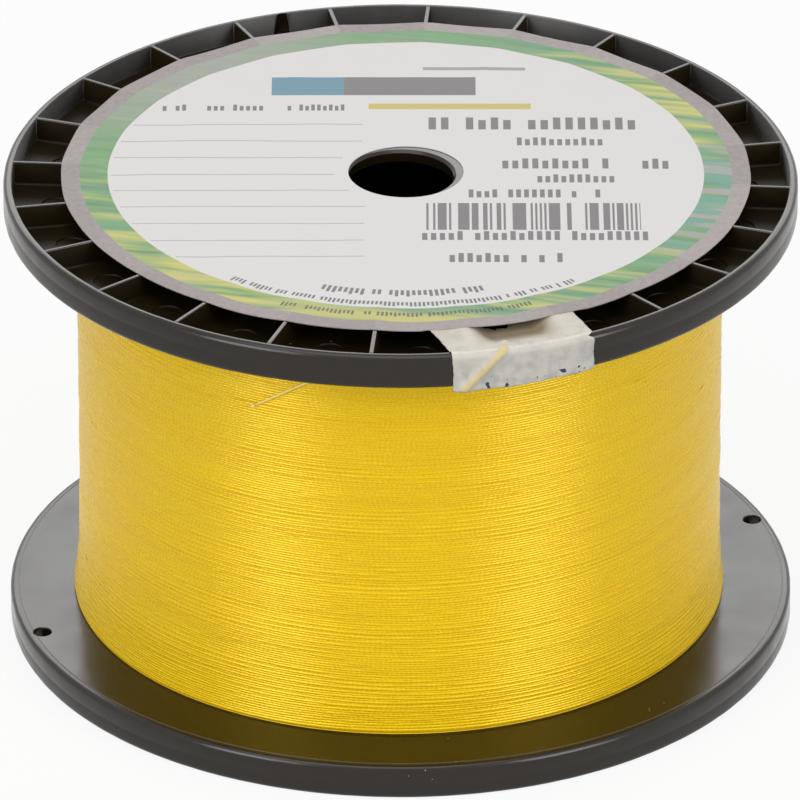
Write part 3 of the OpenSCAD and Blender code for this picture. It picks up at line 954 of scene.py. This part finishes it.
def toward(tree, azimuth, middle, edge):
    """1 at an azimuth, and less away from it, down to 0 where the cosine of the angle between is edge."""
    return spread(tree, calc(tree, "COSINE", calc(tree, "SUBTRACT", azimuth, middle)), edge, 1.0)


def brushed_band(tree, x, y, azimuth):
    """Colour round the label's edge: a ring cut from a sheet of brush strokes that all run one way.

    The ground is green. Straw strokes lie towards the front and the far right, teal and pale ones at the
    right. At the far left a pale wash covers most of it.
    """
    cosine, sine = math.cos(stroke_slope), math.sin(stroke_slope)
    along = calc(tree, "MULTIPLY_ADD", x, 0.1 * cosine, calc(tree, "MULTIPLY", y, 0.1 * sine))
    over = calc(tree, "MULTIPLY_ADD", y, cosine, calc(tree, "MULTIPLY", x, -sine))
    stroke = join(tree, along, over)
    fine = noise(tree, stroke, 0.6, 3.0)
    front = toward(tree, azimuth, 4.45, 0.1)
    far_right = toward(tree, azimuth, 0.6, 0.86)
    right = toward(tree, azimuth, -0.2, 0.8)
    far_left = toward(tree, azimuth, 2.3, 0.8)
    ink = blend(tree, spread(tree, fine, 0.3, 0.5), band_deep, band_green)
    broad = calc(tree, "MULTIPLY_ADD", noise(tree, stroke, 0.3), 1.8, calc(tree, "MULTIPLY", fine, 0.5))
    straw = calc(tree, "MULTIPLY_ADD", calc(tree, "MAXIMUM", front, far_right), 0.5, broad)
    ink = blend(tree, spread(tree, straw, 1.35, 1.75, 0.0, 0.9), ink, band_straw)
    cool = spread(tree, noise(tree, stroke, 0.35, 1.0), 0.45, 0.53, 0.0, 0.85)
    ink = blend(tree, calc(tree, "MULTIPLY", cool, calc(tree, "MAXIMUM", right, 0.2)), ink, band_teal)
    pale = spread(tree, noise(tree, stroke, 0.5, 1.0), 0.5, 0.58, 0.0, 0.85)
    streaky = calc(tree, "MULTIPLY", pale, calc(tree, "MAXIMUM", right, 0.15))
    return blend(tree, calc(tree, "MAXIMUM", streaky, calc(tree, "MULTIPLY", far_left, 0.7)), ink, band_pale)


def printed_film():
    """Print in four inks on glossy white film, worked out from each point's place, with painted shade."""
    material, tree, shader = new_finish("printed_film")
    place = node(tree, "ShaderNodeTexCoord").outputs["Object"]
    shifted = {0: place, 1: (-label_x * MM, -label_y * MM, 0)}
    moved = node(tree, "ShaderNodeVectorMath", shifted, operation="ADD").outputs[0]
    to_mm = {0: moved, 1: (1 / MM, 1 / MM, 0)}
    scaled = node(tree, "ShaderNodeVectorMath", to_mm, operation="MULTIPLY").outputs[0]
    x, y, _ = split(tree, scaled)
    radius = node(tree, "ShaderNodeVectorMath", {0: scaled}, operation="LENGTH").outputs["Value"]
    azimuth = calc(tree, "ARCTAN2", y, x)
    within = calc(tree, "LESS_THAN", radius, rules_reach)
    rules = 0.0
    wavy_y = calc(tree, "ADD", y, spread(tree, noise(tree, scaled, 0.09, 1.0), 0.3, 0.7, -0.15, 0.15))
    for line_y, end_x in ruled_lines:
        ruled = inside(tree, wavy_y, line_y - rule_half, line_y + rule_half)
        rules = calc(tree, "ADD", rules, both(tree, ruled, calc(tree, "LESS_THAN", x, end_x)))
    paper = blend(tree, both(tree, rules, within), film_white, print_grey)
    ink = 0.0
    for number, box in enumerate(print_rows):
        ink = calc(tree, "MAXIMUM", ink, row_of_blocks(tree, x, y, box, float(number)))
    left, right, bottom, top = bar_code
    bar = calc(tree, "GREATER_THAN", chance(tree, calc(tree, "DIVIDE", x, bar_module), 5.0), 0.5)
    bars = both(tree, inside(tree, x, left, right), inside(tree, y, bottom, top), bar)
    ink = calc(tree, "MAXIMUM", ink, bars)
    for (left, right, bottom, top), colour in heading:
        block = both(tree, inside(tree, x, left, right), inside(tree, y, bottom, top))
        paper = blend(tree, block, paper, colour)
    ring = brushed_band(tree, x, y, azimuth)
    paper = blend(tree, inside(tree, radius, band_inner_r, band_outer_r), paper, ring)
    mottle = spread(tree, noise(tree, place, 1100.0, 3.0), 0.35, 0.7, -0.1, 0.3)
    # Painted shade: each pocket's stretch of the edge ring is darker by a random amount, for the film's tilt
    spot = split(tree, place)
    pocket = calc(tree, "SUBTRACT", calc(tree, "ARCTAN2", spot[1], spot[0]), first_rib - 2 * math.pi)
    facet_painted_shade = chance(tree, calc(tree, "DIVIDE", pocket, rib_step), 9.0)
    mottle_and_facet_shade = calc(tree, "MULTIPLY_ADD", facet_painted_shade, 0.5, mottle)
    edge = blend(tree, calc(tree, "MAXIMUM", mottle_and_facet_shade, 0.0), edge_mauve, edge_dark)
    paper = blend(tree, calc(tree, "GREATER_THAN", radius, band_outer_r), paper, edge)
    for number, box in enumerate(edge_rows):
        round_run = calc(tree, "MULTIPLY", azimuth, edge_print_r)
        ink = calc(tree, "MAXIMUM", ink, row_of_blocks(tree, round_run, radius, box, 30.0 + number))
    feed(tree, shader, {
        "Base Color": blend(tree, calc(tree, "MULTIPLY", ink, 0.85), paper, print_black),
        "Roughness": 0.42,
        "Specular IOR Level": 0.2,
        "Normal": bumped(tree, noise(tree, place, 160.0), 0.15, 0.0003),
    })
    return material


dress(label_disc(), printed_film(), "label_paper", "top_label")


# ---- Floor and light ----
# The spool stands on a plain white table with a soft box above it, one behind and one at each side.

floor_size = 6.0
floor_z = -0.00002
backdrop_white = (1, 1, 1, 1)
table_seen = (0.95, 0.95, 0.95, 1)
table_dim = (0.42, 0.42, 0.42, 1)
sky_strength = 0.2
lamp_aim_z = 0.035


def background_share(tree):
    """1 for the rays that show the background: from the camera, mirrored off a piece or through it."""
    path = node(tree, "ShaderNodeLightPath").outputs
    bounced = calc(tree, "MAXIMUM", path["Is Glossy Ray"], path["Is Transmission Ray"])
    return calc(tree, "MAXIMUM", path["Is Camera Ray"], bounced)


def table_top():
    """White that shines for the background's rays and takes the spool's shadow. It lights the spool less."""
    material, tree, shader = new_finish("table_white")
    seen = background_share(tree)
    feed(tree, shader, {
        "Base Color": blend(tree, seen, table_dim, table_seen),
        "Roughness": 0.9,
        "Specular IOR Level": 0.0,
    })
    light = node(tree, "ShaderNodeEmission", {"Color": backdrop_white, "Strength": 1.0}).outputs[0]
    shares = {0: calc(tree, "MULTIPLY", seen, 0.88), 1: shader.outputs[0], 2: light}
    mixed = node(tree, "ShaderNodeMixShader", shares).outputs[0]
    feed(tree, tree.nodes["Material Output"], {"Surface": mixed})
    return material


def soft_box(name, azimuth, elevation, distance, width, tall, radiance):
    """Rectangular lamp that faces the spool, by its direction from it and how bright its face is."""
    lamp = bpy.data.lights.new(name, "AREA")
    lamp.shape = "RECTANGLE"
    lamp.size = width
    lamp.size_y = tall
    lamp.energy = radiance * math.pi * width * tall
    made = bpy.data.objects.new(name, lamp)
    turn, rise = math.radians(azimuth), math.radians(elevation)
    away = Vector((math.cos(turn) * math.cos(rise), math.sin(turn) * math.cos(rise), math.sin(rise)))
    made.location = Vector((0, 0, lamp_aim_z)) + away * distance
    made.rotation_euler = away.to_track_quat("Z", "Y").to_euler()
    made.visible_camera = False
    bpy.context.scene.collection.objects.link(made)


corner = np.linspace(-floor_size, floor_size, 2)
floor_x, floor_y = np.meshgrid(corner, corner)
table = surface("table", np.stack([floor_x / MM, floor_y / MM, np.full((2, 2), floor_z / MM)], axis=-1))
table.data.materials.append(table_top())
world = bpy.data.worlds.new("studio")
world.use_nodes = True
bpy.context.scene.world = world
sky = world.node_tree.nodes["Background"]
sky_seen = background_share(world.node_tree)
brightness = calc(world.node_tree, "MULTIPLY_ADD", sky_seen, 1 - sky_strength, sky_strength)
feed(world.node_tree, sky, {"Color": backdrop_white, "Strength": brightness})
# Azimuth, elevation, distance, width, height and radiance of each lamp
soft_box("top_box", 250, 74, 1.5, 1.2, 1.2, 1.56)
soft_box("rear_box", 90, 30, 1.6, 2.2, 0.5, 2.7)
soft_box("left_box", 227, 20, 1.5, 0.62, 1.0, 4.9)
soft_box("right_box", 317, 20, 1.5, 0.68, 1.0, 4.8)
